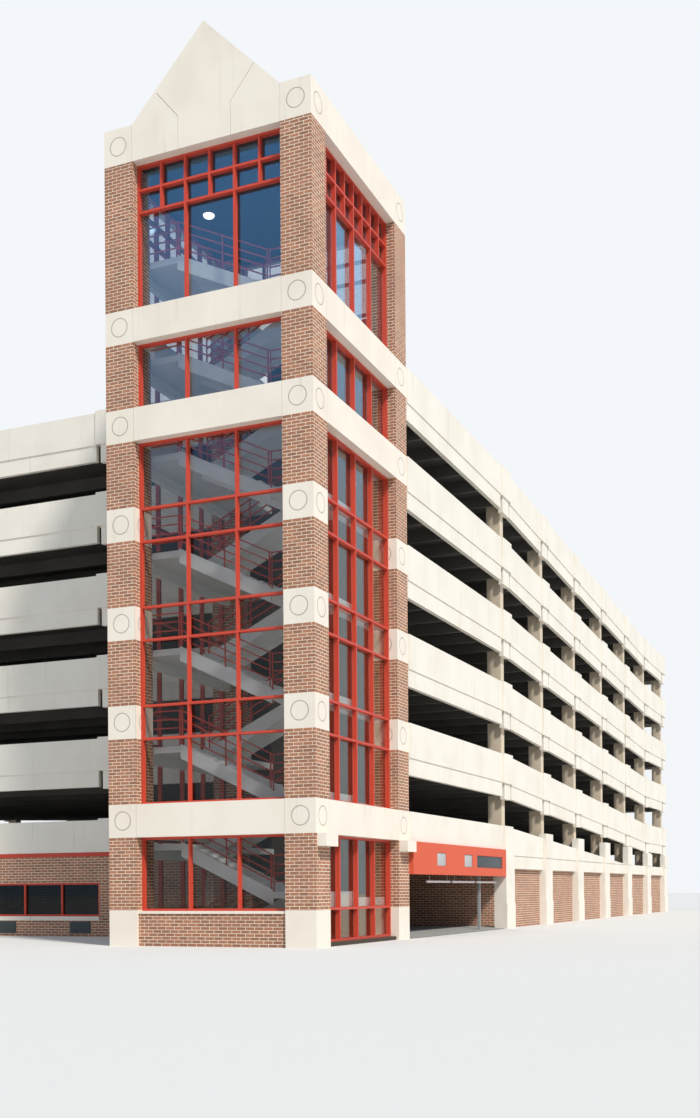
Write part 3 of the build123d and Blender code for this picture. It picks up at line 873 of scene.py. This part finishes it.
@dataclass
class EntranceFittings:
    """Blank sign panes in the fascia over the vehicle entrance, and the bars that hang below it."""

    low: float = GRADE + 1.214
    high: float = GRADE + 1.446
    start: float = 3.81
    length: float = 5.6
    gap: float = 0.004
    face: float = 0.062
    pane: float = 0.006
    shares: tuple[Range, ...] = ((0.22, 0.31), (0.50, 0.59), (0.64, 0.95))
    bars: tuple[Range, ...] = ((4.98, 6.26), (6.40, 7.78), (7.92, 9.26))
    bar_x: float = -0.11
    bar_height: float = GRADE + 0.93
    bar_radius: float = 0.022
    bar_sides: int = 20
    hanger: float = 0.006
    hanger_inset: float = 0.15
    hanger_top: float = GRADE + 1.06

    def panes(self, first: int, last: int) -> bpy.types.Object:
        """Return blank panes, one sheet in each recess.

        Args:
            first: The number of the first recess.
            last: The number after the last recess.

        Returns:
            The sheets.
        """
        items = []
        for start, end in self.shares[first:last]:
            y0 = self.start + start * self.length + self.gap
            y1 = self.start + end * self.length - self.gap
            low = plan(self.face, y0, self.low)
            high = plan(self.face + self.pane, y1, self.high)
            items.append(bar("sign_pane", low, high))
        return together(f"sign_panes_{first}", items)

    def headroom_bars(self) -> bpy.types.Object:
        """Hang each bar that shows the headroom on two thin hangers.

        Returns:
            The bars.
        """
        items = []
        half = self.hanger / 2
        foot = plan(self.bar_x - half, -half, self.bar_height)
        head = plan(self.bar_x + half, half, self.hanger_top)
        wire = bar("hanger", foot, head, half / 2)
        for y0, y1 in self.bars:
            deselect()
            bpy.ops.mesh.primitive_cylinder_add(
                vertices=self.bar_sides,
                radius=self.bar_radius,
                depth=y1 - y0,
                location=plan(self.bar_x, (y0 + y1) / 2, self.bar_height),
                rotation=(math.pi / 2, 0.0, 0.0),
            )
            tube = bpy.context.object
            bpy.ops.object.transform_apply(location=True, rotation=True, scale=True)
            items.append(rounded(tube, self.bar_radius / 4))
            ends = (y0 + self.hanger_inset, y1 - self.hanger_inset)
            items += copies(wire, [Vector((0.0, y, 0.0)) for y in ends])
        bpy.data.objects.remove(wire)
        return together("headroom_bars", items)

    def fit(self, made: dict[Look, bpy.types.Material]) -> list[bpy.types.Object]:
        """Dress the pieces.

        Args:
            made: The materials by look.

        Returns:
            The dressed pieces.
        """
        return [
            keep(self.panes(0, 2), made[Look.SIGN]),
            keep(self.panes(2, 3), made[Look.VENT]),
            keep(self.headroom_bars(), made[Look.WHITE]),
        ]


@dataclass
class StairFittings:
    """Railings of the landings, in line with those of the flights, and the ceiling lamp."""

    west: float = -3.285
    landing_west: float = 0.74
    east: float = -0.255
    landing_east: float = 0.70
    front: float = 0.505
    post: float = 0.018
    rail: float = 0.020
    height: float = 0.535
    base: float = 0.030
    count: int = 4
    lamp: float = 0.095
    lamp_place: Triple = (-2.74, 1.855, GRADE + CORNICE_FOOT)
    lamp_segments: int = 24
    lamp_rings: int = 12
    lamp_flatness: float = 0.55

    def run(self, x0: float, x1: float, z: float) -> bpy.types.Object:
        """Return the rails and posts along the front of one landing.

        Args:
            x0: The west end.
            x1: The east end.
            z: The landing's top.

        Returns:
            The railing.
        """
        behind = self.front + self.post
        step = self.height / self.count
        top = z + self.base + step
        low = plan(x0, behind, top - self.rail)
        high = plan(x1, behind + self.rail, top)
        lowest = bar("rail", low, high, self.rail / 4)
        foot = plan(x0 + self.post / 2, self.front, z)
        head = plan(x0 + self.post * 1.5, behind, z + self.base + self.height)
        first = bar("post", foot, head, self.post / 5)
        rails = copies(lowest, [Vector((0.0, 0.0, step * n)) for n in range(1, self.count)])
        posts = copies(first, [Vector((x1 - x0 - 2 * self.post, 0.0, 0.0))])
        return together("landing_railing", [lowest, *rails, first, *posts])

    def railings(self) -> bpy.types.Object:
        """Rail the landings on both sides at every storey.

        Returns:
            The railings.
        """
        storeys = [Vector((0.0, 0.0, STOREY * n)) for n in range(1, LEVELS)]
        lowest = GRADE + STOREY
        west = self.run(self.west, self.west + self.landing_west, lowest)
        east = self.run(self.east - self.landing_east, self.east, lowest - STOREY / 2)
        parts = [west, *copies(west, storeys), east, *copies(east, storeys)]
        return together("landing_railings", parts)

    def ceiling_lamp(self) -> bpy.types.Object:
        """Cut a sphere in half and flatten it under the tower's ceiling.

        Returns:
            The lamp.
        """
        place = plan(*self.lamp_place)
        deselect()
        bpy.ops.mesh.primitive_uv_sphere_add(
            segments=self.lamp_segments,
            ring_count=self.lamp_rings,
            radius=self.lamp,
            location=place,
        )
        item = bpy.context.object
        item.name = "ceiling_lamp"
        bpy.ops.object.transform_apply(location=True, rotation=True, scale=True)
        bpy.ops.object.mode_set(mode="EDIT")
        bpy.ops.mesh.select_all(action="SELECT")
        bpy.ops.mesh.bisect(
            plane_co=place, plane_no=(0.0, 0.0, 1.0), clear_outer=True, use_fill=True
        )
        bpy.ops.mesh.select_all(action="SELECT")
        bpy.ops.transform.resize(value=(1.0, 1.0, self.lamp_flatness), center_override=place)
        bpy.ops.object.mode_set(mode="OBJECT")
        bpy.ops.object.shade_smooth_by_angle(angle=SHARP_FOLD)
        return item

    def fit(self, made: dict[Look, bpy.types.Material]) -> list[bpy.types.Object]:
        """Dress the pieces.

        Args:
            made: The materials by look.

        Returns:
            The dressed pieces.
        """
        return [
            keep(self.railings(), made[Look.RED]),
            keep(self.ceiling_lamp(), made[Look.LAMP]),
        ]


@dataclass
class RoofTrim:
    """Seams and ridge cap of the tower's roof, and a dark sheet that paints shade into the gables'
    joints.
    """

    middle: float = -TOWER_WIDTH / 2
    reach: float = 1.61
    ridge: float = GRADE + 13.744
    slope: float = GABLE_RISE / (TOWER_WIDTH / 2 - PIER)
    gable: float = 0.15
    seams: int = 8
    seam: float = 0.016
    rise: float = 0.028
    cap: float = 0.075
    cap_thick: float = 0.03
    sheet: float = 0.02
    sheet_inset: float = 0.012
    cornice: float = GRADE + CORNICE_FOOT
    gable_foot: float = GRADE + CORNICE_FOOT + CORNICE
    edge: float = 0.04

    def folded(self, item: bpy.types.Object, slope: float) -> bpy.types.Object:
        """Cut a bar at the middle of the roof and fold both halves down.

        Args:
            item: A level bar across the roof.
            slope: The fall of each half for its length.

        Returns:
            The same bar.
        """
        deselect()
        item.select_set(True)
        bpy.context.view_layer.objects.active = item
        bpy.ops.object.mode_set(mode="EDIT")
        bpy.ops.mesh.select_all(action="SELECT")
        bpy.ops.mesh.bisect(plane_co=plan(self.middle, 0.0, 0.0), plane_no=(1.0, 0.0, 0.0))
        bpy.ops.object.mode_set(mode="OBJECT")
        for vertex in item.data.vertices:
            vertex.co.z -= slope * abs(vertex.co.x - PLAN_X - self.middle)
        return item

    def ribs(self) -> bpy.types.Object:
        """Fold the seams over both slopes and the cap over the ridge.

        Returns:
            The seams with the cap.
        """
        back = TOWER_DEPTH - self.gable
        step = (back - self.gable) / (self.seams + 1)
        y = self.gable + step
        low = plan(self.middle - self.reach, y - self.seam / 2, self.ridge)
        high = plan(self.middle + self.reach, y + self.seam / 2, self.ridge + self.rise)
        first = self.folded(bar("seam", low, high, self.seam / 5), self.slope)
        others = copies(first, [Vector((0.0, step * n, 0.0)) for n in range(1, self.seams)])
        low = plan(self.middle - self.cap, self.gable, self.ridge)
        high = plan(self.middle + self.cap, back, self.ridge + self.cap_thick)
        cap = self.folded(bar("cap", low, high, self.cap_thick / 4), self.slope)
        return together("roof_seams", [first, *others, cap])

    def joint_shade(self) -> bpy.types.Object:
        """Put a thin dark sheet inside each gable, which shows in its joints alone as painted
        shade.

        Returns:
            The sheets.
        """
        # Painted shade: this dark sheet stands where the gable's joints hold only shade.
        half = TOWER_WIDTH / 2 - PIER - self.sheet
        top = self.gable_foot + GABLE_RISE - self.edge
        low = plan(self.middle - half, self.sheet_inset, self.cornice + self.sheet)
        high = plan(self.middle + half, self.sheet_inset + self.sheet, top)
        sheet = self.folded(bar("joint_shade", low, high, self.sheet / 5), 0.0)
        for vertex in sheet.data.vertices:
            away = abs(vertex.co.x - PLAN_X - self.middle)
            if vertex.co.z > self.gable_foot:
                vertex.co.z -= GABLE_RISE * away / half
        back = TOWER_DEPTH - self.sheet - 2 * self.sheet_inset
        behind = copies(sheet, [Vector((0.0, back, 0.0))])
        return together("gable_joint_shade", [sheet, *behind])

    def fit(self, made: dict[Look, bpy.types.Material]) -> list[bpy.types.Object]:
        """Dress the pieces.

        Args:
            made: The materials by look.

        Returns:
            The dressed pieces.
        """
        return [
            keep(self.ribs(), made[Look.ROOF]),
            keep(self.joint_shade(), made[Look.VENT]),
        ]


@dataclass
class BayMarkings:
    """Painted lines of the parking bays on the two open ramps of the top level."""

    width: float = 0.05
    length: float = 2.6
    pitch: float = 1.3
    start: float = 9.9
    below: float = 0.004
    above: float = 0.004
    ramp_start: float = 9.41
    ramp_end: float = 25.81
    east_rows: tuple[float, ...] = (-2.75, -8.85)
    west_rows: tuple[float, ...] = (-12.05, -18.15)

    def line(self, x: float, height: float, fall: float) -> bpy.types.Object:
        """Return the first line of a row, laid to the slope of its ramp.

        Args:
            x: The west end.
            height: The ramp's top at the first line.
            fall: How much the ramp falls for each metre to the back.

        Returns:
            The line.
        """
        low = plan(x, self.start - self.width / 2, height - self.below)
        high = plan(x + self.length, self.start + self.width / 2, height + self.above)
        item = bar("bay_line", low, high, self.above / 4)
        for vertex in item.data.vertices:
            vertex.co.z -= fall * (vertex.co.y - PLAN_Y - self.start)
        return item

    def lines(self) -> bpy.types.Object:
        """Line both ramps to their slopes.

        Returns:
            The lines.
        """
        fall = STOREY / 2 / (self.ramp_end - self.ramp_start)
        run = self.start - self.ramp_start
        top = GRADE + STOREY * (LEVELS - 1)
        count = int((self.ramp_end - self.start) / self.pitch)
        ramps = (
            (self.east_rows, top - fall * run, fall),
            (self.west_rows, top - STOREY + fall * run, -fall),
        )
        items = []
        for rows, height, slope in ramps:
            step = Vector((0.0, self.pitch, -slope * self.pitch))
            for x in rows:
                first = self.line(x, height, slope)
                items += [first, *copies(first, [step * n for n in range(1, count)])]
        return together("bay_lines", items)

    def fit(self, made: dict[Look, bpy.types.Material]) -> list[bpy.types.Object]:
        """Return the dressed lines."""
        return [keep(self.lines(), made[Look.WHITE])]


@dataclass
class VentLouvres:
    """Sloping blades of the low vents in the front wall."""

    face: float = 3.366
    reach: float = 0.012
    width: float = 0.435
    low: float = GRADE - 0.0025
    height: float = 0.225
    blade: float = 0.006
    droop: float = 0.014
    blades: int = 6
    lift: float = 0.05
    first: float = 6.04
    last: float = 18.30
    count: int = 3
    cover: float = 0.65
    shares: tuple[float, ...] = (0.125, 0.625)

    def blades_of(self) -> bpy.types.Object:
        """Slope one blade and repeat it in every vent.

        Returns:
            The blades.
        """
        bay = (self.last - self.first) / self.count
        span = bay - self.cover
        bottom = self.low + self.height * self.lift
        low = plan(-self.width / 2, self.face - self.reach, bottom)
        high = plan(self.width / 2, self.face, bottom + self.blade)
        first = bar("blade", low, high, self.blade / 5)
        for vertex in first.data.vertices:
            vertex.co.z += self.droop * (vertex.co.y - PLAN_Y - self.face + self.reach) / self.reach
        heights = [self.height * n / self.blades for n in range(self.blades)]
        items = []
        for place in range(self.count):
            for share in self.shares:
                x = -self.first - bay * place - span * share
                items += copies(first, [Vector((x, 0.0, z)) for z in heights])
        bpy.data.objects.remove(first)
        return together("vent_blades", items)

    def fit(self, made: dict[Look, bpy.types.Material]) -> list[bpy.types.Object]:
        """Return the dressed blades."""
        return [keep(self.blades_of(), made[Look.VENT])]


@dataclass
class Studio:
    """Pale floor, soft light and the camera at the photograph's place.

    The picture's height, the focal length and the horizon are in rows of the picture.
    """

    eye: Triple = (7.7625, -16.7815, GRADE + 0.778)
    turn: float = 23.313
    tilt: float = -0.39
    sensor: float = 36.0
    picture: float = 1118.0
    focal: float = 1280.0
    horizon: float = 890.33
    sight: Range = (0.1, 500.0)
    sun_from: Triple = (0.55, -0.38, 0.74)
    sun_power: float = 3.6
    sun_width: float = 7.0
    sun_colour: Colour = (1.0, 0.97, 0.92)
    sky: float = 0.40
    sky_colour: Colour = (0.96, 0.945, 0.97)
    mirrored: float = 0.9
    mirrored_colour: Colour = (0.56, 0.76, 1.0)
    seen: float = 1.0
    seen_colour: Colour = (0.90, 0.93, 0.96)
    paper: Colour = (0.64, 0.625, 0.60)
    floor_size: float = 400.0

    def camera(self) -> bpy.types.Object:
        """Place the camera, level and turned to the left, with its frame raised.

        Returns:
            The camera.
        """
        data = bpy.data.cameras.new("main_camera")
        data.sensor_width = self.sensor
        data.lens = self.sensor * self.focal / self.picture
        data.shift_y = (self.horizon - self.picture / 2) / self.picture
        data.clip_start, data.clip_end = self.sight
        item = bpy.data.objects.new("main_camera", data)
        bpy.context.scene.collection.objects.link(item)
        turn, tilt = math.radians(self.turn), math.radians(self.tilt)
        right = Vector((math.cos(turn), math.sin(turn), 0.0))
        ahead = Vector((-math.sin(turn), math.cos(turn), 0.0))
        up = Vector((0.0, 0.0, 1.0))
        across = right * math.cos(tilt) + up * math.sin(tilt)
        upright = up * math.cos(tilt) - right * math.sin(tilt)
        place = plan(*self.eye)
        rows = [(across[i], upright[i], -ahead[i], place[i]) for i in range(3)]
        item.matrix_world = Matrix((*rows, (0.0, 0.0, 0.0, 1.0)))
        bpy.context.scene.camera = item
        return item

    def sun(self) -> bpy.types.Object:
        """Place the wide, soft key light.

        Returns:
            The lamp.
        """
        data = bpy.data.lights.new("key_light", "SUN")
        data.energy = self.sun_power
        data.angle = math.radians(self.sun_width)
        data.color = self.sun_colour
        item = bpy.data.objects.new("key_light", data)
        bpy.context.scene.collection.objects.link(item)
        item.rotation_mode = "QUATERNION"
        item.rotation_quaternion = Vector(self.sun_from).to_track_quat("Z", "Y")
        return item

    def surroundings(self) -> None:
        """Light the world softly and show it pale to the camera."""
        world = bpy.data.worlds.new("soft_room")
        bpy.context.scene.world = world
        world.use_nodes = True
        tree = world.node_tree
        tree.nodes.clear()
        path = tree.nodes.new("ShaderNodeLightPath")
        out = tree.nodes.new("ShaderNodeOutputWorld")
        shown = self.room(tree, self.sky_colour, self.sky)
        for colour, strength, rays in (
            (self.mirrored_colour, self.mirrored, ("Is Glossy Ray",)),
            (self.seen_colour, self.seen, ("Is Camera Ray", "Is Transmission Ray")),
        ):
            mix = tree.nodes.new("ShaderNodeMixShader")
            either = tree.nodes.new("ShaderNodeMath")
            either.operation = "MAXIMUM"
            for socket, ray in zip(either.inputs, rays):
                tree.links.new(path.outputs[ray], socket)
            tree.links.new(either.outputs[0], mix.inputs[0])
            tree.links.new(shown.outputs[0], mix.inputs[1])
            tree.links.new(self.room(tree, colour, strength).outputs[0], mix.inputs[2])
            shown = mix
        tree.links.new(shown.outputs[0], out.inputs[0])

    @staticmethod
    def room(tree: bpy.types.NodeTree, colour: Colour, strength: float) -> bpy.types.Node:
        """Return an even background.

        Args:
            tree: The world's node tree.
            colour: Its colour.
            strength: How bright it is.

        Returns:
            The background node.
        """
        node = tree.nodes.new("ShaderNodeBackground")
        node.inputs[0].default_value = (*colour, 1.0)
        node.inputs[1].default_value = strength
        return node

    def floor(self) -> bpy.types.Object:
        """Lay the pale floor.

        Returns:
            The floor.
        """
        deselect()
        bpy.ops.mesh.primitive_plane_add(size=self.floor_size, location=(0.0, 0.0, 0.0))
        item = bpy.context.object
        item.name = "studio_floor"
        graph = Graph("floor_paper")
        paper = graph.place("ShaderNodeBsdfDiffuse")
        graph.feed(paper, {"Color": self.paper})
        out = graph.place("ShaderNodeOutputMaterial")
        graph.tree.links.new(paper.outputs[0], out.inputs[0])
        wear(item, graph.material)
        return item

    def build(self) -> None:
        """Set the whole stage."""
        self.camera()
        self.sun()
        self.surroundings()
        self.floor()
        bpy.context.scene.view_settings.view_transform = "Standard"


@dataclass
class Garage:
    """The dressed building."""

    finishes: Finishes = field(default_factory=Finishes)
    entrance: EntranceFittings = field(default_factory=EntranceFittings)
    stair: StairFittings = field(default_factory=StairFittings)
    roof: RoofTrim = field(default_factory=RoofTrim)
    bays: BayMarkings = field(default_factory=BayMarkings)
    vents: VentLouvres = field(default_factory=VentLouvres)

    def build(self, nodes: dict[str, bpy.types.Object]) -> None:
        """Dress the frame and add the pieces that belong to the looks.

        Args:
            nodes: The frame's nodes by name.
        """
        LOG.info("dressed %d nodes", self.finishes.dress_nodes(nodes))
        for part in (self.entrance, self.stair, self.roof, self.bays, self.vents):
            for piece in part.fit(self.finishes.made):
                LOG.info("%s: %d faces", piece.name, len(piece.data.polygons))


def main() -> None:
    """Load the frame, dress it and set the stage."""
    logging.basicConfig(level=logging.INFO, format="%(message)s")
    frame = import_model()
    Garage().build(frame["nodes"])
    Studio().build()


if __name__ == "__main__":
    main()
